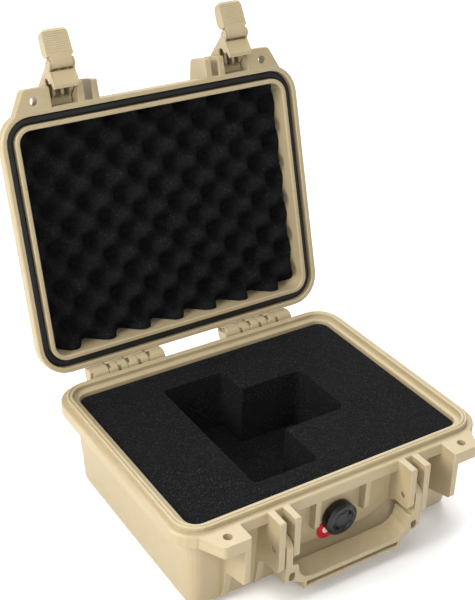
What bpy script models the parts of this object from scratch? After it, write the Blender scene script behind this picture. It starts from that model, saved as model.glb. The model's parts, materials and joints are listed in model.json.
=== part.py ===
"""Hard equipment case: moulded base and lid, foam set, two lever latches, folding handle and valve.

Frame: metres, +Z up, the front (latches and handle) towards -Y, origin at the centre of the underside.
The lid stands open on its hinge, the latches stand open on the lid and the handle hangs down.
Lid, latch and handle pieces are drawn closed, around their own axis, and turned by the empty they
hang from.
"""
import math

import bmesh
import bpy
from mathutils import Matrix, Vector

MM = 0.001

# Driving sizes, millimetres.
BASE_HEIGHT = 80.0
LID_HEIGHT = 44.0
OPENING_X = 120.2
OPENING_Y = 91.7
OPENING_RADIUS = 10.2
FLANGE_OUT = 14.8
FLANGE_BAND = 10.0
WALL_OUT = 3.3
FLOOR = 3.5
PARTING_GAP = 0.3

HINGE_Y = 113.7
HINGE_Z = BASE_HEIGHT - 2.3
HINGE_PIN_R = 2.4
KNUCKLE_R = 6.8
KNUCKLE_WINDOW = 2.8
BASE_KNUCKLES = ((82.0, 98.0), (64.5, 73.0), (45.0, 54.5))
LID_KNUCKLES = ((73.5, 81.5), (55.0, 64.0), (30.0, 44.5))
LID_OPEN_DEG = 105.0

TONGUE_IN = 5.0
TONGUE_OUT = 10.0
TONGUE_HEIGHT = 4.0
GASKET_IN = 3.8
GASKET_DEPTH = 4.3
GROOVE_DEPTH = 7.8
GROOVE_OUT = TONGUE_OUT + 0.5

EAR_X = 103.4
EAR_Y = -113.0
PADLOCK_HOLE_R = 3.3

INNER_RIB = (48.5, 54.5)
OUTER_RIB = (61.0, 67.0)
EAR_PLATE = (89.5, 95.0)
RIB_FRONT = -121.8

HANDLE_Y = -114.0
HANDLE_Z = BASE_HEIGHT - 27.0
HANDLE_ARM = (55.0, 60.5)
HANDLE_DEPTH = 8.6
HANDLE_PIN_R = 2.2

LATCH_X = 78.25
LATCH_HALF = 10.85
LATCH_CHEEK = 1.5
LATCH_Y = -106.9
LATCH_Z = BASE_HEIGHT + 17.3
LATCH_OPEN_DEG = 37.0
LATCH_PIN_R = 2.2
LEVER_Y = -13.0
LEVER_Z = -35.2
LEVER_OPEN_DEG = 69.5
LEVER_BARREL_R = 3.9
LEVER_PIN_R = 1.6

VALVE_Z = BASE_HEIGHT - 35.5
VALVE_CAP_R = 13.5
PANEL_FRONT = -98.0

CAVITY_BODY_X = (-55.0, 1.0)
CAVITY_BODY_Y = (-71.0, 66.0)
CAVITY_LENS_X = 58.0
CAVITY_LENS_Y = (-26.5, 36.0)
FOAM_TOP = BASE_HEIGHT - 3.0
PAD_TOP = 24.0

CLEAR = 0.4
PIN_CLEAR = 0.3


def reset_scene():
    for item in list(bpy.data.objects):
        bpy.data.objects.remove(item, do_unlink=True)


def new_collection(name):
    group = bpy.data.collections.new(name)
    bpy.context.scene.collection.children.link(group)
    return group


def plastic(name, colour, roughness, metallic=0.0):
    material = bpy.data.materials.new(name)
    material.use_nodes = True
    shader = material.node_tree.nodes["Principled BSDF"]
    shader.inputs["Base Color"].default_value = (*colour, 1.0)
    shader.inputs["Roughness"].default_value = roughness
    shader.inputs["Metallic"].default_value = metallic
    material.diffuse_color = (*colour, 1.0)
    return material


def to_object(bm, name, group, material=None, parent=None):
    """Turn a mesh drawn in millimetres into an object, with faces pointing out."""
    bmesh.ops.recalc_face_normals(bm, faces=bm.faces)
    bmesh.ops.scale(bm, vec=(MM, MM, MM), verts=bm.verts)
    mesh = bpy.data.meshes.new(name)
    bm.to_mesh(mesh)
    bm.free()
    piece = bpy.data.objects.new(name, mesh)
    group.objects.link(piece)
    if material:
        mesh.materials.append(material)
        mesh.shade_smooth()
        mesh.set_sharp_from_angle(angle=math.radians(32))
    if parent:
        piece.parent = parent
    return piece


def as_tool(piece):
    piece.hide_render = True
    piece.display_type = "WIRE"
    return piece


def boolean(target, tool, operation):
    step = target.modifiers.new(tool.name, "BOOLEAN")
    step.operation = operation
    step.solver = "EXACT"
    step.object = as_tool(tool)


def join_prism(target, name, tools, parent, outline, axis, low, high):
    """Weld one straight-sided block onto a piece."""
    bm = bmesh.new()
    add_prism(bm, outline, axis, low, high)
    boolean(target, to_object(bm, name, tools, parent=parent), "UNION")


def axis_empty(name, group, location_mm, turn_deg, parent=None):
    """An empty on a joint's axis, turned about +X by turn_deg."""
    empty = bpy.data.objects.new(name, None)
    empty.empty_display_size = 0.02
    empty.location = Vector(location_mm) * MM
    empty.rotation_euler = (math.radians(turn_deg), 0.0, 0.0)
    empty.parent = parent
    group.objects.link(empty)
    return empty


def rounded(corners, steps=4):
    """Outline through corners (u, v, radius), with each corner turned into an arc."""
    points = []
    count = len(corners)
    for index, (u, v, radius) in enumerate(corners):
        here = Vector((u, v))
        if radius <= 0.0:
            points.append((u, v))
            continue
        back = (Vector(corners[index - 1][:2]) - here).normalized()
        ahead = (Vector(corners[(index + 1) % count][:2]) - here).normalized()
        half = back.angle(ahead) / 2.0
        reach = radius / math.tan(half)
        centre = here + (back + ahead).normalized() * (radius / math.sin(half))
        start = here + back * reach - centre
        sweep = start.angle_signed(here + ahead * reach - centre)
        for step in range(steps + 1):
            turn = -sweep * step / steps
            arm = Matrix.Rotation(turn, 2) @ start
            points.append(tuple(centre + arm))
    return points


def arc(centre, radius, start_deg, end_deg, steps):
    points = []
    for step in range(steps + 1):
        angle = math.radians(start_deg + (end_deg - start_deg) * step / steps)
        points.append((centre[0] + radius * math.cos(angle), centre[1] + radius * math.sin(angle)))
    return points


PLANES = {
    "x": lambda u, v, w: (w, u, v),
    "y": lambda u, v, w: (u, w, v),
    "z": lambda u, v, w: (u, v, w),
}


def add_prism(bm, outline, axis, low, high):
    """A flat outline pushed along axis from low to high; u and v are the other two axes in order."""
    place = PLANES[axis]
    ring = [bm.verts.new(place(u, v, low)) for u, v in outline]
    face = bm.faces.new(ring)
    top = bmesh.ops.extrude_face_region(bm, geom=[face])
    verts = [item for item in top["geom"] if isinstance(item, bmesh.types.BMVert)]
    push = Vector(place(0.0, 0.0, high - low))
    bmesh.ops.translate(bm, vec=push, verts=verts)
    return ring + verts


def add_cylinder(bm, axis, centre, radius, low, high, sides=20):
    """A round bar along axis; centre gives the other two coordinates in order."""
    middle = Vector(PLANES[axis](centre[0], centre[1], (low + high) / 2.0))
    spin = {"x": Matrix.Rotation(math.pi / 2, 4, "Y"), "y": Matrix.Rotation(-math.pi / 2, 4, "X")}
    turn = spin.get(axis, Matrix.Identity(4))
    bmesh.ops.create_cone(
        bm, cap_ends=True, segments=sides, radius1=radius, radius2=radius,
        depth=abs(high - low), matrix=Matrix.Translation(middle) @ turn)


def add_box(bm, low, high):
    size = Vector(high) - Vector(low)
    place = Matrix.Translation((Vector(low) + Vector(high)) / 2.0) @ Matrix.Diagonal((*size, 1.0))
    bmesh.ops.create_cube(bm, size=1.0, matrix=place)


def ring_at(offset, z, corner_steps=6):
    """The case's rounded rectangle, moved out by offset, at height z."""
    x = OPENING_X + offset
    y = OPENING_Y + offset
    r = max(OPENING_RADIUS + offset, 2.0)
    corners = [(x, -y, r), (x, y, r), (-x, y, r), (-x, -y, r)]
    return [(u, v, z) for u, v in rounded(corners, corner_steps)]


def loft(bm, rings, closed=False):
    """Skin a row of equal rings; an open row gets flat ends."""
    rows = [[bm.verts.new(point) for point in ring] for ring in rings]
    pairs = list(zip(rows, rows[1:]))
    if closed:
        pairs.append((rows[-1], rows[0]))
    for lower, upper in pairs:
        count = len(lower)
        for index in range(count):
            after = (index + 1) % count
            bm.faces.new((lower[index], lower[after], upper[after], upper[index]))
    if not closed:
        bm.faces.new(rows[0])
        bm.faces.new(rows[-1])


def mirror_sides(values):
    low, high = values
    return [(low, high), (-high, -low)]


# Case shells -------------------------------------------------------------------------------------

def taper(verts, middle, root_y, tip_y, shrink):
    """Thin a standing plate towards its free edge, as moulded ribs are."""
    for vert in verts:
        share = (vert.co.y - root_y) / (tip_y - root_y)
        share = min(max(share, 0.0), 1.0)
        vert.co.x = middle + (vert.co.x - middle) * (1.0 - shrink * share)


def add_standing_plates(bm, spans, outline, shrink=0.16):
    front = min(point[0] for point in outline)
    back = max(point[0] for point in outline)
    for span in spans:
        for low, high in mirror_sides(span):
            verts = add_prism(bm, outline, "x", low, high)
            taper(verts, (low + high) / 2.0, back, front, shrink)


def add_ears(bm, low, high):
    """The padlock ears at both front corners, flat with the flange."""
    outline = rounded([
        (EAR_PLATE[0], -103.6, 0.0), (EAR_PLATE[0], -122.5, 1.5), (111.0, -122.5, 3.5),
        (121.6, -101.8, 0.0), (119.5, -101.2, 0.0), (110.0, -103.6, 0.0)], 3)
    add_prism(bm, outline, "z", low, high)
    add_prism(bm, [(-x, y) for x, y in outline], "z", low, high)


def base_profile():
    top = BASE_HEIGHT
    edge = 6.0
    wall_foot = -1.2
    rings = []
    for step in range(4):
        angle = math.radians(30.0 * step)
        rings.append((wall_foot - edge + edge * math.sin(angle), edge - edge * math.cos(angle)))
    rings += [
        (WALL_OUT, top - FLANGE_BAND - 1.0), (FLANGE_OUT - 0.8, top - FLANGE_BAND),
        (FLANGE_OUT, top - FLANGE_BAND + 0.8), (FLANGE_OUT, top - 0.9), (FLANGE_OUT - 0.9, top),
        (TONGUE_OUT + 0.1, top), (TONGUE_OUT - 0.1, top + TONGUE_HEIGHT - 0.6),
        (TONGUE_OUT - 0.7, top + TONGUE_HEIGHT), (8.3, top + TONGUE_HEIGHT),
        (7.7, top + TONGUE_HEIGHT - 0.9), (7.1, top + TONGUE_HEIGHT),
        (TONGUE_IN + 0.6, top + TONGUE_HEIGHT), (TONGUE_IN, top + TONGUE_HEIGHT - 0.6),
        (TONGUE_IN, top), (0.8, top), (0.0, top - 0.8), (-3.0, FLOOR + 3.0), (-6.0, FLOOR)]
    return rings


def make_base(parts, tools, tan):
    bm = bmesh.new()
    loft(bm, [ring_at(offset, z) for offset, z in base_profile()])
    base = to_object(bm, "base_shell", parts, tan)
    top = BASE_HEIGHT

    ears = bmesh.new()
    add_ears(ears, top - FLANGE_BAND, top - 0.1)
    boolean(base, to_object(ears, "join_base_ears", tools), "UNION")

    plates = bmesh.new()
    for span, low in ((INNER_RIB, 36.5), (OUTER_RIB, 45.5)):
        rib = rounded([
            (-93.5, top - 0.2, 0.0), (RIB_FRONT, top - 0.2, 1.0), (RIB_FRONT, top - low, 4.5),
            (-106.5, top - low, 0.0), (-91.2, top - low - 9.5, 0.0)], 4)
        add_standing_plates(plates, [span], rib)
    ear_plate = rounded([
        (-93.5, top - 0.2, 0.0), (-121.9, top - 0.2, 0.0), (-121.2, top - 42.0, 2.5),
        (-91.2, top - 50.0, 0.0)], 3)
    add_standing_plates(plates, [EAR_PLATE], ear_plate)
    boolean(base, to_object(plates, "join_base_plates", tools), "UNION")

    panel = bmesh.new()
    face = rounded([
        (49.5, top - 9.0, 0.0), (-49.5, top - 9.0, 0.0), (-49.5, top - 42.0, 3.0),
        (-30.0, top - 51.5, 14.0), (30.0, top - 51.5, 14.0), (49.5, top - 42.0, 3.0)], 3)
    verts = add_prism(panel, face, "y", PANEL_FRONT, -90.0)
    for vert in verts:
        if vert.co.y > -94.0:
            vert.co.y = -91.7 - (vert.co.z - VALVE_Z) * 0.0545
    boolean(base, to_object(panel, "join_valve_panel", tools), "UNION")

    details = bmesh.new()
    stiffener = rounded([(-96.0, top - 9.0, 0.0), (-105.9, top - 9.0, 0.0), (-105.2, top - 35.0, 2.5),
                         (-96.0, top - 36.5, 0.0)], 3)
    for low, high in mirror_sides((20.2, 24.6)):
        add_prism(details, stiffener, "x", low, high)
    for middle in (64.0, 92.2):
        for side in (-1, 1):
            bead = [(-91.0, top - 38.0), (-97.2, top - 38.0), (-97.0, top - 50.0), (-93.0, 8.0),
                    (-91.6, 4.2), (-89.6, 2.4), (-88.9, 2.4), (-89.6, 8.0)]
            add_prism(details, bead, "x", side * middle - 2.7, side * middle + 2.7)
    boolean(base, to_object(details, "join_front_details", tools), "UNION")

    knuckles = bmesh.new()
    windows = bmesh.new()
    for low, high in BASE_KNUCKLES:
        for left, right in mirror_sides((low, high)):
            add_prism(knuckles, base_knuckle_outline(), "x", left, right)
            add_box(windows, (left - 1.0, HINGE_Y - 6.9, HINGE_Z - 3.0),
                    (left + KNUCKLE_WINDOW, HINGE_Y - 3.5, HINGE_Z + 9.0))
    boolean(base, to_object(knuckles, "join_base_knuckles", tools), "UNION")
    boolean(base, to_object(windows, "cut_base_windows", tools), "DIFFERENCE")

    holes = bmesh.new()
    for side in (-1, 1):
        add_cylinder(holes, "z", (side * EAR_X, EAR_Y), PADLOCK_HOLE_R, top - 14.0, top + 4.0, 20)
        low, high = sorted((side * 47.0, side * 69.0))
        add_cylinder(holes, "x", (HANDLE_Y, HANDLE_Z), HANDLE_PIN_R + PIN_CLEAR, low, high, 16)
        low, high = sorted((side * 44.0, side * 96.0))
        add_cylinder(holes, "x", (HINGE_Y, HINGE_Z), HINGE_PIN_R + PIN_CLEAR, low, high, 16)
    boolean(base, to_object(holes, "cut_base_holes", tools), "DIFFERENCE")
    bore = [(0.5, -100.0), (6.1, -100.0), (6.1, -95.0), (10.0, -95.0), (10.0, -86.0), (0.5, -86.0)]
    seat = turned_y("cut_valve_seat", bore, tools, None, closed=False)
    boolean(base, seat, "DIFFERENCE")
    return base


def base_knuckle_outline():
    """A knuckle with its web to the flange and a heel that the opened lid comes to rest on."""
    centre = (HINGE_Y, HINGE_Z)
    round_part = arc(centre, KNUCKLE_R, -90.0, 0.0, 5)
    heel = [(HINGE_Y + 6.6, HINGE_Z + 4.9), (HINGE_Y + 2.2, HINGE_Z + 6.1)]
    crown = arc(centre, 6.5, 75.0, 165.0, 4)
    web = [(HINGE_Y - 7.2, BASE_HEIGHT - 1.2), (104.5, BASE_HEIGHT - 1.2), (104.5, HINGE_Z - KNUCKLE_R)]
    return round_part + heel + crown + web


def lid_knuckle_outline():
    centre = (0.0, 0.0)
    flange_low = BASE_HEIGHT + PARTING_GAP + 0.2 - HINGE_Z
    round_part = arc(centre, KNUCKLE_R, 90.0, -170.0, 13)
    web = [(-6.9, flange_low), (104.5 - HINGE_Y, flange_low), (104.5 - HINGE_Y, KNUCKLE_R)]
    return round_part + web


def lid_profile():
    low = PARTING_GAP
    high = LID_HEIGHT
    edge = 5.0
    wall_top = 0.6
    inside_top = high - 3.2
    rings = [(-5.6, inside_top), (-2.6, inside_top - 1.0), (-1.6, inside_top - 3.0),
             (0.0, low + 0.7), (0.7, low), (GASKET_IN - 0.4, low),
             (GASKET_IN, low + 0.4), (GASKET_IN, GROOVE_DEPTH),
             (GROOVE_OUT, GROOVE_DEPTH), (GROOVE_OUT, low + 0.4), (GROOVE_OUT + 0.4, low),
             (FLANGE_OUT - 0.9, low), (FLANGE_OUT, low + 0.9), (FLANGE_OUT, FLANGE_BAND - 0.8),
             (FLANGE_OUT - 0.8, FLANGE_BAND), (WALL_OUT, FLANGE_BAND + 1.0)]
    for step in range(4):
        angle = math.radians(30.0 * step)
        rings.append((wall_top - edge + edge * math.cos(angle), high - edge + edge * math.sin(angle)))
    rings += [(wall_top - edge - 7.0, high), (wall_top - edge - 8.0, high - 0.8)]
    return rings


def lid_point(y, z):
    """A point of the closed lid, z above the parting plane, as seen from the hinge axis."""
    return (y - HINGE_Y, z + BASE_HEIGHT - HINGE_Z)


def make_lid(parts, tools, tan, hinge):
    lift = BASE_HEIGHT - HINGE_Z
    bm = bmesh.new()
    rings = []
    for offset, z in lid_profile():
        rings.append([(x, y - HINGE_Y, z + lift) for x, y, _ in ring_at(offset, 0.0)])
    loft(bm, rings)
    lid = to_object(bm, "lid_shell", parts, tan, hinge)

    ears = bmesh.new()
    add_ears(ears, PARTING_GAP + 0.1, FLANGE_BAND)
    bmesh.ops.translate(ears, vec=(0.0, -HINGE_Y, lift), verts=ears.verts)
    boolean(lid, to_object(ears, "join_lid_ears", tools, parent=hinge), "UNION")

    plates = bmesh.new()
    rib = rounded([
        (-105.6, 0.5, 0.0), (RIB_FRONT, 0.5, 1.0), (RIB_FRONT + 0.4, 25.0, 4.5), (-104.0, 30.0, 0.0),
        (-92.6, 33.0, 0.0), (-92.6, 9.4, 0.0), (-105.6, 9.4, 0.0)], 4)
    add_standing_plates(plates, [INNER_RIB, OUTER_RIB, EAR_PLATE], rib)
    bmesh.ops.translate(plates, vec=(0.0, -HINGE_Y, lift), verts=plates.verts)
    boolean(lid, to_object(plates, "join_lid_plates", tools, parent=hinge), "UNION")

    knuckles = bmesh.new()
    windows = bmesh.new()
    for low, high in LID_KNUCKLES:
        for left, right in mirror_sides((low, high)):
            add_prism(knuckles, lid_knuckle_outline(), "x", left, right)
            add_box(windows, (left - 1.0, -6.7, -8.0), (left + KNUCKLE_WINDOW, -3.4, 5.2))
    boolean(lid, to_object(knuckles, "join_lid_knuckles", tools, parent=hinge), "UNION")
    boolean(lid, to_object(windows, "cut_lid_windows", tools, parent=hinge), "DIFFERENCE")

    holes = bmesh.new()
    for side in (-1, 1):
        ear = lid_point(EAR_Y, 0.0)
        add_cylinder(holes, "z", (side * EAR_X, ear[0]), PADLOCK_HOLE_R, lift - 3.0, lift + 14.0, 20)
        low, high = sorted((side * 59.0, side * 97.0))
        pivot = (LATCH_Y - HINGE_Y, LATCH_Z - HINGE_Z)
        add_cylinder(holes, "x", pivot, LATCH_PIN_R + PIN_CLEAR, low, high, 16)
        low, high = sorted((side * 31.5, side * 84.0))
        add_cylinder(holes, "x", (0.0, 0.0), HINGE_PIN_R + PIN_CLEAR, low, high, 16)
    boolean(lid, to_object(holes, "cut_lid_holes", tools, parent=hinge), "DIFFERENCE")
    return lid


def make_hinge_pins(parts, steel):
    for side, name in ((-1, "left"), (1, "right")):
        bm = bmesh.new()
        low, high = sorted((side * 32.5, side * 95.0))
        add_cylinder(bm, "x", (HINGE_Y, HINGE_Z), HINGE_PIN_R, low, high, 16)
        to_object(bm, "hinge_pin_" + name, parts, steel)


def make_gasket(parts, rubber, hinge):
    inner = GASKET_IN + CLEAR
    outer = GROOVE_OUT - CLEAR
    middle = (inner + outer) / 2.0
    section = [(inner, GROOVE_DEPTH - PARTING_GAP), (outer, GROOVE_DEPTH - PARTING_GAP),
               (outer, GASKET_DEPTH + 1.0), (middle + 1.6, GASKET_DEPTH), (middle - 1.6, GASKET_DEPTH),
               (inner, GASKET_DEPTH + 1.0)]
    lift = BASE_HEIGHT - HINGE_Z
    bm = bmesh.new()
    rings = []
    for offset, z in section:
        rings.append([(x, y - HINGE_Y, z + lift) for x, y, _ in ring_at(offset, 0.0)])
    loft(bm, rings, closed=True)
    return to_object(bm, "lid_gasket", parts, rubber, hinge)


# Foam ------------------------------------------------------------------------------------------


def make_base_foams(parts, foam):
    bm = bmesh.new()
    loft(bm, [ring_at(-2.7, PAD_TOP + 0.5, 3), ring_at(-0.8, FOAM_TOP, 3)])
    block = to_object(bm, "base_foam_block", parts, foam)
    return block


def cavity_outline():
    left, right = CAVITY_BODY_X
    front, back = CAVITY_BODY_Y
    return rounded([
        (left, front, 4.0), (right, front, 4.0), (right, CAVITY_LENS_Y[0], 0.0),
        (CAVITY_LENS_X, CAVITY_LENS_Y[0], 6.0), (CAVITY_LENS_X, CAVITY_LENS_Y[1], 6.0),
        (right, CAVITY_LENS_Y[1], 0.0), (right, back, 4.0), (left, back, 4.0)], 3)


def make_foams(parts, tools, foam, hinge):
    block = make_base_foams(parts, foam)
    cut = bmesh.new()
    add_prism(cut, cavity_outline(), "z", PAD_TOP - 5.0, FOAM_TOP + 5.0)
    boolean(block, to_object(cut, "cut_foam_cavity", tools), "DIFFERENCE")

    pad = bmesh.new()
    loft(pad, [ring_at(-6.6, FLOOR + CLEAR, 3), ring_at(-4.0, FLOOR + 3.4, 3), ring_at(-3.2, PAD_TOP, 3)])
    to_object(pad, "base_foam_pad", parts, foam)

    lift = BASE_HEIGHT - HINGE_Z
    sheet = bmesh.new()
    rings = []
    profile = ((-0.9, 6.5), (-2.2, LID_HEIGHT - 7.0), (-3.4, LID_HEIGHT - 4.4), (-6.2, LID_HEIGHT - 3.6))
    for offset, z in profile:
        rings.append([(x, y - HINGE_Y, z + lift) for x, y, _ in ring_at(offset, 0.0, 3)])
    loft(sheet, rings)
    to_object(sheet, "lid_foam", parts, foam, hinge)


# Handle ----------------------------------------------------------------------------------------

def make_handle(parts, tools, tan):
    """Two arms and a C-section grip, drawn hanging around its pin axis."""
    pivot = axis_empty("handle_axis", parts, (0.0, HANDLE_Y, HANDLE_Z), 0.0)
    deep = HANDLE_DEPTH

    arms = bmesh.new()
    arm = arc((0.0, 0.0), deep, 0.0, 180.0, 10)
    arm += rounded([(-deep, -26.0, 0.0), (-deep, -30.4, 3.5), (deep, -30.4, 3.5), (deep, -26.0, 0.0)], 3)
    for low, high in mirror_sides(HANDLE_ARM):
        add_prism(arms, arm, "x", low, high)
    handle = to_object(arms, "handle", parts, tan, pivot)

    crown = [(56.0, -12.0), (54.8, -12.5), (54.2, -13.8), (52.8, -14.4), (50.8, -14.5), (49.9, -15.6)]
    crown += [(49.4, -20.0), (47.6, -25.2), (43.8, -29.2), (38.0, -31.0), (30.0, -31.4)]
    sole = [(30.0, -35.4), (43.4, -35.2), (45.5, -34.6), (52.6, -29.6), (56.0, -29.4)]
    grip_line = crown + [(-x, z) for x, z in reversed(crown)]
    grip_line += [(-x, z) for x, z in reversed(sole)] + sole
    grip = bmesh.new()
    verts = add_prism(grip, grip_line, "y", -deep + 0.1, deep - 0.1)
    for vert in verts:
        if vert.co.y > 0.0 and vert.co.z < -14.8:
            vert.co.z += 1.8
    boolean(handle, to_object(grip, "join_grip", tools, parent=pivot), "UNION")

    web = [(-43.4, -41.8), (43.4, -41.8), (43.4, -32.0), (-43.4, -32.0)]
    join_prism(handle, "join_channel_web", tools, pivot, web, "y", deep - 4.0, deep - 0.3)
    lip = rounded([(-deep + 0.2, -39.0, 1.2), (-deep + 0.2, -42.0, 1.2), (deep - 0.5, -42.0, 1.2),
                   (deep - 0.5, -39.0, 0.0)], 3)
    join_prism(handle, "join_channel_lip", tools, pivot, lip, "x", -43.6, 43.6)
    end = rounded([(-deep + 0.4, -34.0, 0.0), (-deep + 0.4, -41.6, 1.2), (deep - 0.7, -41.6, 0.0),
                   (deep - 0.7, -33.0, 0.0)], 3)
    for index, (low, high) in enumerate(mirror_sides((41.6, 43.8))):
        join_prism(handle, "join_channel_end_%d" % index, tools, pivot, end, "x", low, high)

    pockets = bmesh.new()
    for side in (-1, 1):
        pocket = rounded([(side * 52.2, -21.5, 2.0), (side * 57.6, -19.6, 2.4), (side * 58.0, -28.6, 2.4),
                          (side * 53.0, -28.0, 2.0)], 3)
        add_prism(pockets, pocket, "y", -deep - 2.0, 1.0)
    boolean(handle, to_object(pockets, "cut_foot_pockets", tools, parent=pivot), "DIFFERENCE")

    holes = bmesh.new()
    for side in (-1, 1):
        low, high = sorted((side * 53.0, side * 62.0))
        add_cylinder(holes, "x", (0.0, 0.0), HANDLE_PIN_R + PIN_CLEAR, low, high, 16)
    boolean(handle, to_object(holes, "cut_handle_holes", tools, parent=pivot), "DIFFERENCE")


def make_handle_pins(parts, steel):
    for side, name in ((-1, "left"), (1, "right")):
        bm = bmesh.new()
        low, high = sorted((side * 49.6, side * 66.0))
        add_cylinder(bm, "x", (HANDLE_Y, HANDLE_Z), HANDLE_PIN_R, low, high, 16)
        to_object(bm, "handle_pin_" + name, parts, steel)


# Latches ---------------------------------------------------------------------------------------

def jaw(y, z):
    """A point of the closed jaw, z above the parting plane, as seen from the jaw's pin."""
    return (y - LATCH_Y, z + BASE_HEIGHT - LATCH_Z)


def jaw_cheek_outline():
    """Side view of the closed jaw: boss on the pin, mouth around the flanges, claw under the base."""
    outline = [jaw(-122.1, -13.0), jaw(-122.1, 11.0), jaw(-120.4, 15.8), jaw(-116.5, 19.0)]
    outline += arc((0.0, 0.0), 5.6, 100.0, -45.0, 8)
    outline += [jaw(-108.0, 10.8), jaw(-108.0, 2.5)]
    outline += arc(jaw(-112.5, -2.9), 4.3, 45.0, 300.0, 8)
    outline += [jaw(-108.6, -8.4), jaw(-107.6, -10.6), jaw(-101.9, -10.6), jaw(-101.6, -11.4),
                jaw(-103.6, -13.6), jaw(-114.8, -15.6)]
    outline += arc((LEVER_Y, LEVER_Z), LEVER_BARREL_R, 0.0, -180.0, 8)
    return outline


def make_latch(parts, tools, tan, steel, hinge, side, name):
    middle = side * LATCH_X
    seat = (middle, LATCH_Y - HINGE_Y, LATCH_Z - HINGE_Z)
    pivot = axis_empty("latch_axis_" + name, parts, seat, -LATCH_OPEN_DEG, hinge)
    half = LATCH_HALF
    inner = half - LATCH_CHEEK

    cheeks = bmesh.new()
    outline = jaw_cheek_outline()
    for low, high in mirror_sides((inner, half)):
        add_prism(cheeks, outline, "x", low, high)
    arm = to_object(cheeks, "latch_jaw_" + name, parts, tan, pivot)

    shell = [jaw(-122.0, -13.3), jaw(-122.0, 10.9), jaw(-120.3, 15.7), jaw(-116.5, 18.9), jaw(-115.6, 16.5),
             jaw(-118.6, 14.2), jaw(-119.8, 10.5), jaw(-119.8, -13.3)]
    join_prism(arm, "join_jaw_front_" + name, tools, pivot, shell, "x", -inner - 0.6, inner + 0.6)
    barrel = arc((0.0, 0.0), 5.5, 0.0, 342.0, 19)
    join_prism(arm, "join_jaw_barrel_" + name, tools, pivot, barrel, "x", -inner - 0.5, inner + 0.5)
    roof = [(-0.5, 3.0), (-0.5, 5.4), jaw(-116.4, 18.7), jaw(-116.2, 16.2), (-4.0, 2.0)]
    join_prism(arm, "join_jaw_roof_" + name, tools, pivot, roof, "x", -inner - 0.7, inner + 0.7)
    plate = [jaw(-107.5, -10.7), jaw(-102.0, -10.7), jaw(-101.7, -11.5), jaw(-103.6, -13.5),
             jaw(-115.0, -15.4), jaw(-115.0, -12.6)]
    join_prism(arm, "join_jaw_claw_" + name, tools, pivot, plate, "x", -inner - 0.6, inner + 0.6)
    gusset = [jaw(-120.5, -8.0), jaw(-120.5, 10.0), jaw(-108.4, 13.6), jaw(-108.4, 8.0), jaw(-117.0, 0.0),
              jaw(-117.0, -8.6), jaw(-110.0, -12.4), jaw(-111.5, -13.4), jaw(-117.5, -11.6)]
    for low, high in ((-4.8, -2.6), (2.6, 4.8)):
        join_prism(arm, "join_jaw_gusset_%s_%d" % (name, low), tools, pivot, gusset, "x", low, high)

    cuts = bmesh.new()
    add_cylinder(cuts, "x", (LEVER_Y, LEVER_Z), LEVER_BARREL_R + CLEAR, -inner, inner, 20)
    add_cylinder(cuts, "x", (0.0, 0.0), LATCH_PIN_R + PIN_CLEAR, -half - 2.0, half + 2.0, 16)
    boolean(arm, to_object(cuts, "cut_jaw_" + name, tools, parent=pivot), "DIFFERENCE")
    eyes = bmesh.new()
    add_cylinder(eyes, "x", (LEVER_Y, LEVER_Z), LEVER_PIN_R + PIN_CLEAR, -half - 2.0, half + 2.0, 12)
    boolean(arm, to_object(eyes, "cut_jaw_eyes_" + name, tools, parent=pivot), "DIFFERENCE")

    make_lever(parts, tools, tan, steel, pivot, name)

    pin = bmesh.new()
    outer = sorted((side * 61.8 - middle, side * 94.2 - middle))
    add_cylinder(pin, "x", (0.0, 0.0), LATCH_PIN_R, outer[0], outer[1], 16)
    to_object(pin, "latch_pin_" + name, parts, steel, pivot)


def make_lever(parts, tools, tan, steel, jaw_pivot, name):
    """The pull lever, drawn hanging from its pin, with grip ridges on the side that faces the case."""
    pivot = axis_empty("lever_axis_" + name, parts, (0.0, LEVER_Y, LEVER_Z), -LEVER_OPEN_DEG, jaw_pivot)
    half = LATCH_HALF
    inner = half - LATCH_CHEEK - CLEAR

    barrel = bmesh.new()
    barrel_view = arc((0.0, 0.0), LEVER_BARREL_R, 200.0, 0.0, 10) + [(4.2, -2.6), (4.2, -9.0), (-1.0, -9.0)]
    add_prism(barrel, barrel_view, "x", -inner, inner)
    lever = to_object(barrel, "latch_lever_" + name, parts, tan, pivot)

    blade = bmesh.new()
    ridge_pitch = 1.72
    side_view = [(4.2, -5.0), (-1.2, -4.9), (-3.2, -5.6), (-5.6, -8.6), (-5.6, -13.0),
                 (-3.6, -24.4), (-1.8, -26.3), (1.8, -26.6), (3.6, -25.9)]
    for index in range(10):
        z = -24.6 + ridge_pitch * index
        side_view += [(4.2, z), (4.5, z + 0.45), (4.5, z + 0.75), (4.2, z + 1.2)]
    add_prism(blade, side_view, "x", -half, half)
    boolean(lever, to_object(blade, "join_lever_blade_" + name, tools, parent=pivot), "UNION")

    cuts = bmesh.new()
    add_cylinder(cuts, "x", (0.0, 0.0), LEVER_PIN_R + PIN_CLEAR, -half, half, 12)
    for side in (-1, 1):
        corner = rounded([
            (side * (half + 1.0), -20.0, 0.0), (side * (half + 1.0), -30.0, 0.0), (side * 3.0, -30.0, 0.0),
            (side * 3.4, -26.9, 0.0), (side * half, -26.9, 6.0), (side * half, -20.4, 0.0)], 5)
        add_prism(cuts, corner, "y", -8.0, 8.0)
    boolean(lever, to_object(cuts, "cut_lever_" + name, tools, parent=pivot), "DIFFERENCE")

    pin = bmesh.new()
    add_cylinder(pin, "x", (0.0, 0.0), LEVER_PIN_R, -half + 0.2, half - 0.2, 12)
    to_object(pin, "lever_pin_" + name, parts, steel, pivot)


# Valve -----------------------------------------------------------------------------------------

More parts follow.
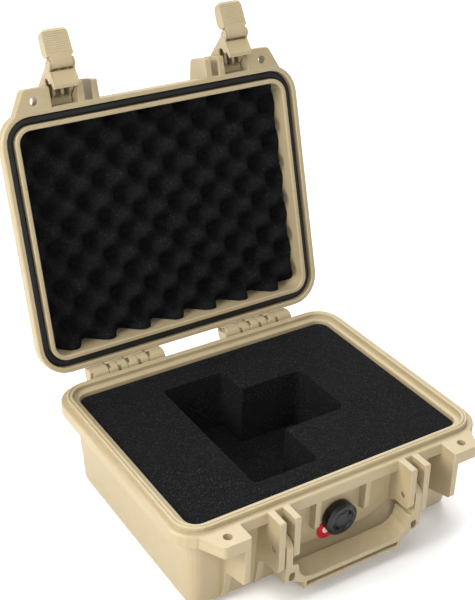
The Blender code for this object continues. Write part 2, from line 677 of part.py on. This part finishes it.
def turned_y(name, profile, group, material, sides=28, closed=True):
    """A turned piece on the valve axis; profile is (radius, y). Left open, its two ends are capped."""
    bm = bmesh.new()
    rings = []
    for radius, y in profile:
        rings.append([(radius * math.cos(2 * math.pi * k / sides), y,
                       VALVE_Z + radius * math.sin(2 * math.pi * k / sides)) for k in range(sides)])
    loft(bm, rings, closed)
    return to_object(bm, name, group, material)


def make_valve(parts, tools, black, rubber, red):
    front = -106.5
    body = [(3.0, -92.4), (5.8, -92.4), (5.8, -99.8), (9.6, -99.8), (9.6, -101.4), (3.0, -101.4)]
    turned_y("valve_body", body, parts, black)
    ring = [(7.4 + 0.7 * math.cos(math.radians(60 * k)), -99.05 + 0.7 * math.sin(math.radians(60 * k)))
            for k in range(6)]
    turned_y("valve_o_ring", ring, parts, rubber, 24)

    cap = bmesh.new()
    profile = [(2.2, front + 0.3), (5.6, front + 0.3), (6.3, front + 0.9), (8.9, front + 0.9), (9.5, front),
               (11.2, front), (VALVE_CAP_R, front + 1.1), (VALVE_CAP_R, -98.9), (10.1, -98.9),
               (10.1, -101.8), (2.2, -101.8)]
    sides = 32
    turns = [2 * math.pi * k / sides for k in range(sides)]
    rings = [[(radius * math.cos(turn), y, VALVE_Z + radius * math.sin(turn)) for turn in turns]
             for radius, y in profile]
    loft(cap, rings)
    cap_piece = to_object(cap, "valve_cap", parts, black)
    slots = bmesh.new()
    for start in (15.0, 195.0):
        outline = arc((0.0, VALVE_Z), 8.6, start, start + 60.0, 5)
        outline += arc((0.0, VALVE_Z), 7.0, start + 60.0, start, 5)
        add_prism(slots, outline, "y", front - 1.0, front + 2.4)
    boolean(cap_piece, to_object(slots, "cut_cap_slots", tools), "DIFFERENCE")

    nut = bmesh.new()
    add_cylinder(nut, "y", (0.0, VALVE_Z), 9.2, -94.6, -92.3, 6)
    nut_piece = to_object(nut, "valve_nut", parts, black)
    bore = bmesh.new()
    add_cylinder(bore, "y", (0.0, VALVE_Z), 6.1, -97.0, -90.0, 28)
    boolean(nut_piece, to_object(bore, "cut_valve_nut", tools), "DIFFERENCE")

    disc = bmesh.new()
    add_cylinder(disc, "y", (0.0, VALVE_Z), 2.7, -96.4, -95.8, 20)
    to_object(disc, "valve_membrane", parts, rubber)

    tag = bmesh.new()
    add_cylinder(tag, "y", (-9.0, VALVE_Z - 9.8), 8.2, PANEL_FRONT - 0.9, PANEL_FRONT - 0.3, 28)
    tag_piece = to_object(tag, "valve_tag", parts, red)
    clear = bmesh.new()
    add_cylinder(clear, "y", (0.0, VALVE_Z), 9.0, PANEL_FRONT - 3.0, PANEL_FRONT + 3.0, 32)
    boolean(tag_piece, to_object(clear, "cut_valve_tag", tools), "DIFFERENCE")


def main():
    reset_scene()
    parts = new_collection("hard_equipment_case")
    tools = new_collection("cutters")
    tan = plastic("tan_moulded_plastic", (0.56, 0.47, 0.32), 0.5)
    rubber = plastic("black_rubber", (0.02, 0.021, 0.024), 0.45)
    foam = plastic("black_foam", (0.017, 0.017, 0.018), 0.95)
    black = plastic("black_plastic", (0.022, 0.023, 0.026), 0.35)
    steel = plastic("steel_pin", (0.55, 0.55, 0.56), 0.3, 1.0)
    red = plastic("red_print", (0.6, 0.02, 0.03), 0.4)

    hinge = axis_empty("lid_axis", parts, (0.0, HINGE_Y, HINGE_Z), -LID_OPEN_DEG)
    make_base(parts, tools, tan)
    make_lid(parts, tools, tan, hinge)
    make_hinge_pins(parts, steel)
    make_gasket(parts, rubber, hinge)
    make_foams(parts, tools, foam, hinge)
    make_handle(parts, tools, tan)
    make_handle_pins(parts, steel)
    for side, name in ((-1, "left"), (1, "right")):
        make_latch(parts, tools, tan, steel, hinge, side, name)
    make_valve(parts, tools, black, rubber, red)
    bpy.context.view_layer.update()


main()
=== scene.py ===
"""Looks of the hard equipment case: moulded tan plastic, cut and egg-box foam, rubber and steel."""
import json
import math

import bmesh
import bpy
from mathutils import Matrix, Vector, noise


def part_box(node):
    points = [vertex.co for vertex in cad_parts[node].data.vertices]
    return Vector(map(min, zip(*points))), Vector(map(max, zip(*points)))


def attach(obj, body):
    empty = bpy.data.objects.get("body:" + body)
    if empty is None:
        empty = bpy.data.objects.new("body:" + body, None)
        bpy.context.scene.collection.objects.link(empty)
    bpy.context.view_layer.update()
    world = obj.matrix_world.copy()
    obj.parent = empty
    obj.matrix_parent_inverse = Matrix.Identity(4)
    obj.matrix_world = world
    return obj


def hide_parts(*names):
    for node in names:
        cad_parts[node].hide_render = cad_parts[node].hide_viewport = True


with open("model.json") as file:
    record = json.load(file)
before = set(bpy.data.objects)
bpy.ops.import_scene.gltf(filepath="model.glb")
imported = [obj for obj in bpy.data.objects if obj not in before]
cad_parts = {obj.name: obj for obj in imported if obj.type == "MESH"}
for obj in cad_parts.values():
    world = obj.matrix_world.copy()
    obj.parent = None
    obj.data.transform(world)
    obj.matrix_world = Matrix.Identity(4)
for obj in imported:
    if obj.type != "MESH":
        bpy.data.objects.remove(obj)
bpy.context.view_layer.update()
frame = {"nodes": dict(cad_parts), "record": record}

# Camera, degrees and metres, aimed at a point inside the open case.
CAMERA_AZIMUTH = -32.41
CAMERA_ELEVATION = 29.68
CAMERA_ROLL = 1.03
CAMERA_DISTANCE = 0.9357
CAMERA_AIM = Vector((0.0093, 0.0578, 0.147))
CAMERA_LENS = 70.48

# Foam, metres; EGG_NARROW sharpens the cups and EGG_START is where the rows of peaks begin.
FOAM_CORNER = 0.0093
EGG_PITCH = 0.0325
EGG_DEPTH = 0.021
EGG_NARROW = 1.35
EGG_START = (0.0128, 0.0083)
EGG_STEP = 0.0018
FOAM_EDGE = 0.0007
POCKET_MARGIN = 0.002

# The tag's white middle, metres.
TAG_WHITE = 0.0034


def joint(name):
    return next(item for item in frame["record"]["behaviour"]["joints"] if item["name"] == name)


def lid_turn():
    """Takes a point of the closed lid to where the opened lid holds it."""
    hinge = joint("lid_hinge")
    place = Matrix.Translation(Vector(hinge["pos_m"]))
    turn = Matrix.Rotation(math.radians(-hinge["range_deg"][1]), 4, "X")
    return place @ turn @ place.inverted()


# Materials -------------------------------------------------------------------------------------

class Recipe:
    """Short calls for building one node material."""

    def __init__(self, name):
        self.material = bpy.data.materials.new(name)
        self.material.use_nodes = True
        self.tree = self.material.node_tree
        self.shader = self.tree.nodes["Principled BSDF"]
        self.place = self.add("ShaderNodeTexCoord").outputs["Object"]

    def add(self, kind, **values):
        node = self.tree.nodes.new(kind)
        for key, value in values.items():
            setattr(node, key, value)
        return node

    def link(self, source, target):
        self.tree.links.new(source, target)

    def fixed(self, **values):
        for key, value in values.items():
            self.shader.inputs[key.replace("_", " ")].default_value = value

    def noise(self, size, detail=3.0, roughness=0.5):
        """Noise whose features are about size metres across."""
        node = self.add("ShaderNodeTexNoise")
        node.inputs["Scale"].default_value = 1.0 / size
        node.inputs["Detail"].default_value = detail
        node.inputs["Roughness"].default_value = roughness
        self.link(self.place, node.inputs["Vector"])
        return node.outputs["Fac"]

    def cells(self, size):
        """Rounded cells about size metres across."""
        node = self.add("ShaderNodeTexVoronoi", feature="F1")
        node.inputs["Scale"].default_value = 1.0 / size
        self.link(self.place, node.inputs["Vector"])
        return node.outputs["Distance"]

    def ramp(self, source, stops):
        node = self.add("ShaderNodeValToRGB")
        band = node.color_ramp
        while len(band.elements) < len(stops):
            band.elements.new(0.5)
        for element, (position, colour) in zip(band.elements, stops):
            element.position = position
            element.color = (*colour, 1.0)
        self.link(source, node.inputs["Fac"])
        return node.outputs["Color"]

    def range(self, source, low, high, start=0.3, end=0.7):
        node = self.add("ShaderNodeMapRange")
        node.inputs["From Min"].default_value = start
        node.inputs["From Max"].default_value = end
        node.inputs["To Min"].default_value = low
        node.inputs["To Max"].default_value = high
        self.link(source, node.inputs["Value"])
        return node.outputs["Result"]

    def mix(self, share, first, second):
        node = self.add("ShaderNodeMix", data_type="RGBA")
        for socket, value in (("Factor", share), ("A", first), ("B", second)):
            wanted = "VALUE" if socket == "Factor" else "RGBA"
            target = next(s for s in node.inputs if s.name == socket and s.type == wanted)
            if isinstance(value, bpy.types.NodeSocket):
                self.link(value, target)
            else:
                target.default_value = value
        return next(s for s in node.outputs if s.type == "RGBA")

    def bump(self, height, distance, strength, under=None):
        node = self.add("ShaderNodeBump")
        node.inputs["Distance"].default_value = distance
        node.inputs["Strength"].default_value = strength
        self.link(height, node.inputs["Height"])
        if under is not None:
            self.link(under, node.inputs["Normal"])
        return node.outputs["Normal"]

    def edge(self, radius):
        """(rounded normal, how near an edge: 0 on flats to 1 on edges)."""
        bevel = self.add("ShaderNodeBevel", samples=6)
        bevel.inputs["Radius"].default_value = radius
        plain = self.add("ShaderNodeNewGeometry")
        dot = self.add("ShaderNodeVectorMath", operation="DOT_PRODUCT")
        self.link(bevel.outputs["Normal"], dot.inputs[0])
        self.link(plain.outputs["Normal"], dot.inputs[1])
        return bevel.outputs["Normal"], self.range(dot.outputs["Value"], 1.0, 0.0, 0.86, 0.995)


def tan_plastic():
    """Desert-tan structural foam plastic: fine spark texture, satin, rubbed a little paler on its edges."""
    recipe = Recipe("tan_moulded_plastic_look")
    cloud = recipe.noise(0.06, 2.0)
    mottle = recipe.noise(0.009, 4.0, 0.6)
    body = recipe.ramp(cloud, [(0.3, (0.372, 0.297, 0.172)), (0.7, (0.39, 0.312, 0.183))])
    speck = recipe.mix(recipe.range(mottle, 0.0, 0.2, 0.4, 0.75), body, (0.47, 0.39, 0.25, 1.0))
    rounded, near = recipe.edge(0.0009)
    worn = recipe.add("ShaderNodeMath", operation="MULTIPLY")
    recipe.link(near, worn.inputs[0])
    recipe.link(recipe.range(recipe.noise(0.012, 3.0), 0.15, 0.75, 0.35, 0.65), worn.inputs[1])
    colour = recipe.mix(worn.outputs[0], speck, (0.56, 0.485, 0.34, 1.0))
    recipe.link(colour, recipe.shader.inputs["Base Color"])
    recipe.link(recipe.range(mottle, 0.36, 0.52), recipe.shader.inputs["Roughness"])
    grain = recipe.bump(recipe.cells(0.0007), 0.00012, 0.35, rounded)
    recipe.link(recipe.bump(recipe.noise(0.004, 3.0), 0.0002, 0.12, grain), recipe.shader.inputs["Normal"])
    recipe.fixed(Specular_IOR_Level=0.45, Coat_Weight=0.06, Coat_Roughness=0.3)
    return recipe.material


def open_cell_foam():
    """Charcoal open-cell foam: tiny cells that catch the light as specks."""
    recipe = Recipe("black_foam_look")
    cell = recipe.cells(0.0011)
    fine = recipe.noise(0.0009, 5.0, 0.7)
    patch = recipe.noise(0.03, 3.0)
    deep = recipe.ramp(fine, [(0.4, (0.0016, 0.0016, 0.0019)), (0.57, (0.0065, 0.0066, 0.0073)),
                              (0.72, (0.08, 0.082, 0.088))])
    colour = recipe.mix(recipe.range(patch, 0.0, 0.3), deep, (0.0085, 0.0087, 0.0094, 1.0))
    recipe.link(colour, recipe.shader.inputs["Base Color"])
    holes = recipe.bump(cell, 0.0007, 0.55)
    recipe.link(recipe.bump(fine, 0.0008, 0.6, holes), recipe.shader.inputs["Normal"])
    recipe.fixed(Roughness=0.95, Specular_IOR_Level=0.12)
    return recipe.material


def rubber():
    """Black solid rubber with a faint bloom."""
    recipe = Recipe("black_rubber_look")
    bloom = recipe.noise(0.008, 4.0)
    colour = recipe.ramp(bloom, [(0.35, (0.0035, 0.0037, 0.0045)), (0.7, (0.0075, 0.008, 0.0095))])
    recipe.link(colour, recipe.shader.inputs["Base Color"])
    recipe.link(recipe.range(bloom, 0.4, 0.6), recipe.shader.inputs["Roughness"])
    rounded, _ = recipe.edge(0.0005)
    grain = recipe.bump(recipe.noise(0.0006, 2.0), 0.0001, 0.3, rounded)
    recipe.link(grain, recipe.shader.inputs["Normal"])
    return recipe.material


def black_plastic():
    """Satin black moulded plastic, with a painted highlight: its edges are painted a paler grey."""
    recipe = Recipe("black_plastic_look")
    cloud = recipe.noise(0.006, 3.0)
    rounded, near = recipe.edge(0.0006)
    plain = recipe.ramp(cloud, [(0.35, (0.0045, 0.0048, 0.0055)), (0.7, (0.009, 0.0095, 0.011))])
    # Painted highlight: this share mixes every edge towards a paler grey.
    share = recipe.add("ShaderNodeMath", operation="MULTIPLY")
    share.inputs[1].default_value = 0.18
    recipe.link(near, share.inputs[0])
    colour = recipe.mix(share.outputs[0], plain, (0.07, 0.072, 0.078, 1.0))
    recipe.link(colour, recipe.shader.inputs["Base Color"])
    recipe.link(recipe.range(cloud, 0.17, 0.28), recipe.shader.inputs["Roughness"])
    recipe.fixed(Specular_IOR_Level=0.38)
    grain = recipe.bump(recipe.noise(0.0005, 2.0), 0.00006, 0.3, rounded)
    recipe.link(grain, recipe.shader.inputs["Normal"])
    return recipe.material


def steel():
    """Drawn steel pin: fine lines along its length."""
    recipe = Recipe("steel_pin_look")
    stretch = recipe.add("ShaderNodeMapping")
    stretch.inputs["Scale"].default_value = (0.04, 1.0, 1.0)
    recipe.link(recipe.place, stretch.inputs["Vector"])
    recipe.place = stretch.outputs["Vector"]
    lines = recipe.noise(0.0004, 3.0)
    colour = recipe.ramp(lines, [(0.3, (0.42, 0.42, 0.43)), (0.7, (0.62, 0.62, 0.64))])
    recipe.link(colour, recipe.shader.inputs["Base Color"])
    recipe.link(recipe.range(lines, 0.22, 0.4), recipe.shader.inputs["Roughness"])
    recipe.fixed(Metallic=1.0)
    return recipe.material


def printed_tag():
    """A red ring round a white middle, with no lettering."""
    recipe = Recipe("red_print_look")
    low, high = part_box("valve_tag")
    middle = (Vector(low) + Vector(high)) / 2.0
    away = recipe.add("ShaderNodeVectorMath", operation="DISTANCE")
    recipe.link(recipe.place, away.inputs[0])
    away.inputs[1].default_value = middle
    ring = recipe.range(away.outputs["Value"], 0.0, 1.0, TAG_WHITE - 0.0002, TAG_WHITE + 0.0002)
    ink = recipe.ramp(recipe.noise(0.002, 3.0), [(0.3, (0.5, 0.008, 0.02)), (0.7, (0.62, 0.014, 0.03))])
    recipe.link(recipe.mix(ring, (0.8, 0.79, 0.77, 1.0), ink), recipe.shader.inputs["Base Color"])
    recipe.link(recipe.range(recipe.noise(0.003), 0.3, 0.42), recipe.shader.inputs["Roughness"])
    return recipe.material


# Foam pieces -----------------------------------------------------------------------------------

def new_piece(bm, name, material):
    bmesh.ops.recalc_face_normals(bm, faces=bm.faces)
    mesh = bpy.data.meshes.new(name)
    bm.to_mesh(mesh)
    bm.free()
    mesh.materials.append(material)
    piece = bpy.data.objects.new(name, mesh)
    bpy.context.scene.collection.objects.link(piece)
    mesh.shade_smooth()
    return piece


def rounded(corners, steps=6):
    """Outline through corners (x, y, radius), with each corner turned into an arc."""
    points = []
    for index, (x, y, radius) in enumerate(corners):
        here = Vector((x, y))
        if radius <= 0.0:
            points.append((x, y))
            continue
        back = (Vector(corners[index - 1][:2]) - here).normalized()
        ahead = (Vector(corners[(index + 1) % len(corners)][:2]) - here).normalized()
        half = back.angle(ahead) / 2.0
        centre = here + (back + ahead).normalized() * (radius / math.sin(half))
        start = here + back * (radius / math.tan(half)) - centre
        sweep = start.angle_signed(here + ahead * (radius / math.tan(half)) - centre)
        for step in range(steps + 1):
            points.append(tuple(centre + Matrix.Rotation(-sweep * step / steps, 2) @ start))
    return points


def skin(bm, rings):
    """Faces between equal rings, with flat ends."""
    rows = [[bm.verts.new(point) for point in ring] for ring in rings]
    count = len(rows[0])
    for lower, upper in zip(rows, rows[1:]):
        for index in range(count):
            after = (index + 1) % count
            bm.faces.new((lower[index], lower[after], upper[after], upper[index]))
    bm.faces.new(rows[0])
    bm.faces.new(rows[-1])


def plate_ring(half_x, half_y, inset, z):
    x = half_x - inset
    y = half_y - inset
    r = max(FOAM_CORNER - inset, 0.002)
    return [(u, v, z) for u, v in rounded([(x, -y, r), (x, y, r), (-x, y, r), (-x, -y, r)])]


def opening(name):
    """(lowest corner, highest corner) of an opening the record states, which keeps clear of its walls."""
    item = next(item for item in frame["record"]["physics"]["openings"] if item["name"] == name)
    return item["box_m"]


def pocket_ring(grow, z):
    """The camera-shaped cut-out, its sides moved out by grow."""
    out = POCKET_MARGIN + grow
    body_low, body_high = opening("foam_pocket_body")
    lens_low, lens_high = opening("foam_pocket_lens")
    left = body_low[0] - out
    right = body_high[0] + out
    front = body_low[1] - out
    back = body_high[1] + out
    far = lens_high[0] + out
    near_y = lens_low[1] - out
    far_y = lens_high[1] + out
    r = 0.004 + grow
    corners = [(left, front, r), (right, front, r), (right, near_y, 0.002), (far, near_y, r + 0.002),
               (far, far_y, r + 0.002), (right, far_y, 0.002), (right, back, r), (left, back, r)]
    return [(x, y, z) for x, y in rounded(corners, 5)]


def foam_block(material):
    """The base's foam, with soft top edges and a pocket whose walls bow in a little."""
    low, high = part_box("base_foam_block")
    half_x, half_y, top = high
    bm = bmesh.new()
    rings = [plate_ring(half_x, half_y, 0.0022, low[2]), plate_ring(half_x, half_y, 0.0012, low[2] + 0.002)]
    for step in range(5):
        angle = math.radians(22.5 * step)
        inset = FOAM_EDGE * 1.5 * (1.0 - math.cos(angle))
        rings.append(plate_ring(half_x, half_y, inset, top - FOAM_EDGE * 1.5 * (1.0 - math.sin(angle))))
    skin(bm, rings)
    block = new_piece(bm, "foam_block", material)

    bm = bmesh.new()
    rings = [pocket_ring(0.0, low[2] - 0.004)]
    for share in (0.2, 0.45, 0.7):
        bow = -0.0009 * math.sin(math.pi * share)
        rings.append(pocket_ring(bow, low[2] + (top - low[2]) * share))
    for step in range(5):
        angle = math.radians(22.5 * step)
        grow = FOAM_EDGE * (1.0 - math.cos(angle))
        rings.append(pocket_ring(grow, top - FOAM_EDGE * (1.0 - math.sin(angle))))
    rings.append(pocket_ring(FOAM_EDGE * 1.6, top + 0.003))
    skin(bm, rings)
    cutter = new_piece(bm, "pocket_cutter", material)
    carve = block.modifiers.new("pocket", "BOOLEAN")
    carve.operation = "DIFFERENCE"
    carve.solver = "EXACT"
    carve.object = cutter
    bpy.context.view_layer.update()
    shaped = bpy.data.meshes.new_from_object(block.evaluated_get(bpy.context.evaluated_depsgraph_get()))
    block.modifiers.clear()
    block.data = shaped
    shaped.set_sharp_from_angle(angle=math.radians(40))
    bpy.data.objects.remove(cutter, do_unlink=True)
    return block


def foam_pad(material):
    """The loose pad under the block."""
    low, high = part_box("base_foam_pad")
    half_x, half_y, top = high
    bm = bmesh.new()
    skin(bm, [plate_ring(half_x, half_y, 0.004, low[2]), plate_ring(half_x, half_y, 0.0012, low[2] + 0.003),
              plate_ring(half_x, half_y, 0.0003, top - 0.001), plate_ring(half_x, half_y, 0.001, top)])
    return new_piece(bm, "foam_pad", material)


def pull_into_corner(x, y, half_x, half_y, radius):
    """Brings a point beyond a rounded corner back onto its arc."""
    over = Vector((abs(x) - (half_x - radius), abs(y) - (half_y - radius)))
    if over.x <= 0.0 or over.y <= 0.0 or over.length <= radius:
        return x, y
    over = over.normalized() * radius
    return math.copysign(half_x - radius + over.x, x), math.copysign(half_y - radius + over.y, y)


def egg_box(material):
    """The lid's egg-box foam: rows of rounded peaks with deep cups between, cut flush at its edges."""
    turn = lid_turn()
    back = turn.inverted()
    corners = [back @ vertex.co for vertex in frame["nodes"]["lid_foam"].data.vertices]
    half_x = max(point.x for point in corners)
    half_y = max(point.y for point in corners)
    face = min(point.z for point in corners)
    rear = max(point.z for point in corners)
    columns = round(2.0 * half_x / EGG_STEP)
    rows = round(2.0 * half_y / EGG_STEP)
    bm = bmesh.new()
    grid = []
    for row in range(rows + 1):
        line = []
        for column in range(columns + 1):
            x = half_x * (2.0 * column / columns - 1.0)
            y = half_y * (2.0 * row / rows - 1.0)
            x, y = pull_into_corner(x, y, half_x, half_y, FOAM_CORNER)
            wave = math.cos(2.0 * math.pi * (x - EGG_START[0]) / EGG_PITCH)
            wave *= math.cos(2.0 * math.pi * (y - EGG_START[1]) / EGG_PITCH)
            cup = (0.5 - 0.5 * wave) ** EGG_NARROW
            rough = 0.0004 * noise.noise(Vector((x, y, 0.0)) * 350.0)
            line.append(bm.verts.new((x, y, face + EGG_DEPTH * cup + rough + 0.0004)))
        grid.append(line)
    for near, far in zip(grid, grid[1:]):
        for column in range(columns):
            bm.faces.new((near[column], near[column + 1], far[column + 1], far[column]))
    rim = grid[0][:-1] + [line[-1] for line in grid[:-1]]
    rim += grid[-1][:0:-1] + [line[0] for line in grid[:0:-1]]
    ring = rim
    for inset, share in ((0.0002, 0.4), (0.0012, 0.85), (0.0045, 1.0)):
        deeper = []
        for vertex in rim:
            x, y, z = vertex.co
            level = z + (rear - z) * share
            deeper.append(bm.verts.new((x * (1.0 - inset / half_x), y * (1.0 - inset / half_y), level)))
        for index in range(len(ring)):
            after = (index + 1) % len(ring)
            bm.faces.new((ring[index], ring[after], deeper[after], deeper[index]))
        ring = deeper
    bm.faces.new(ring)
    bmesh.ops.remove_doubles(bm, verts=bm.verts, dist=0.00005)
    piece = new_piece(bm, "egg_box_foam", material)
    piece.data.transform(turn)
    piece.data.set_sharp_from_angle(angle=math.radians(55))
    return piece


# Stage -----------------------------------------------------------------------------------------

def direction(azimuth, elevation):
    """Unit vector from the case towards azimuth (0 is the front, -90 the left) and elevation."""
    a = math.radians(azimuth)
    e = math.radians(elevation)
    return Vector((math.sin(a) * math.cos(e), -math.cos(a) * math.cos(e), math.sin(e)))


def add_light(name, azimuth, elevation, distance, size, power, colour=(1.0, 1.0, 1.0)):
    lamp = bpy.data.lights.new(name, "AREA")
    lamp.shape = "DISK"
    lamp.size = size
    lamp.energy = power
    lamp.color = colour
    item = bpy.data.objects.new(name, lamp)
    toward = direction(azimuth, elevation)
    item.location = CAMERA_AIM + toward * distance
    item.rotation_euler = toward.to_track_quat("Z", "Y").to_euler()
    bpy.context.scene.collection.objects.link(item)


def add_camera():
    back = direction(CAMERA_AZIMUTH, CAMERA_ELEVATION)
    right = Vector((0.0, 0.0, 1.0)).cross(back).normalized()
    up = back.cross(right)
    roll = math.radians(CAMERA_ROLL)
    side = right * math.cos(roll) + up * math.sin(roll)
    top = up * math.cos(roll) - right * math.sin(roll)
    lens = bpy.data.cameras.new("camera")
    lens.lens = CAMERA_LENS
    lens.sensor_width = 36.0
    lens.clip_start = 0.01
    item = bpy.data.objects.new("camera", lens)
    place = Matrix((side, top, back)).transposed().to_4x4()
    place.translation = CAMERA_AIM + back * CAMERA_DISTANCE
    item.matrix_world = place
    bpy.context.scene.collection.objects.link(item)
    bpy.context.scene.camera = item


def add_floor():
    recipe = Recipe("floor_look")
    cloud = recipe.noise(0.6, 2.0)
    colour = recipe.ramp(cloud, [(0.3, (0.92, 0.92, 0.92)), (0.7, (0.94, 0.94, 0.94))])
    recipe.link(colour, recipe.shader.inputs["Base Color"])
    recipe.fixed(Roughness=0.7)
    bm = bmesh.new()
    bmesh.ops.create_grid(bm, x_segments=8, y_segments=8, size=4.0)
    floor = new_piece(bm, "floor", recipe.material)


def add_world():
    world = bpy.data.worlds.new("studio")
    world.use_nodes = True
    world.node_tree.nodes["Background"].inputs["Color"].default_value = (1.0, 1.0, 1.0, 1.0)
    world.node_tree.nodes["Background"].inputs["Strength"].default_value = 0.36
    bpy.context.scene.world = world


def paint(looks):
    """Gives each carried-over CAD node the finished material of its slot."""
    slots = {item["node"]: item["material_slot"] for item in frame["record"]["subparts"]}
    for name, node in frame["nodes"].items():
        for index in range(len(node.material_slots)):
            node.material_slots[index].material = looks[slots[name]]


def main():
    looks = {
        "tan_moulded_plastic": tan_plastic(),
        "black_rubber": rubber(),
        "black_foam": open_cell_foam(),
        "black_plastic": black_plastic(),
        "steel_pin": steel(),
        "red_print": printed_tag(),
    }
    paint(looks)
    foam = looks["black_foam"]
    for piece, node, body in (
            (foam_block(foam), "base_foam_block", "base"),
            (foam_pad(foam), "base_foam_pad", "base"),
            (egg_box(foam), "lid_foam", "lid")):
        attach(piece, body)
        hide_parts(node)
    add_floor()
    add_world()
    add_light("key", -88.0, 32.0, 1.6, 0.7, 24.0, (1.0, 0.99, 0.97))
    add_light("top", -30.0, 78.0, 1.7, 1.0, 8.0)
    add_light("front", -25.0, 30.0, 1.8, 0.8, 12.0)
    add_light("back", 150.0, 50.0, 2.8, 2.2, 75.0)
    add_camera()
    bpy.context.scene.view_settings.view_transform = "Standard"


main()
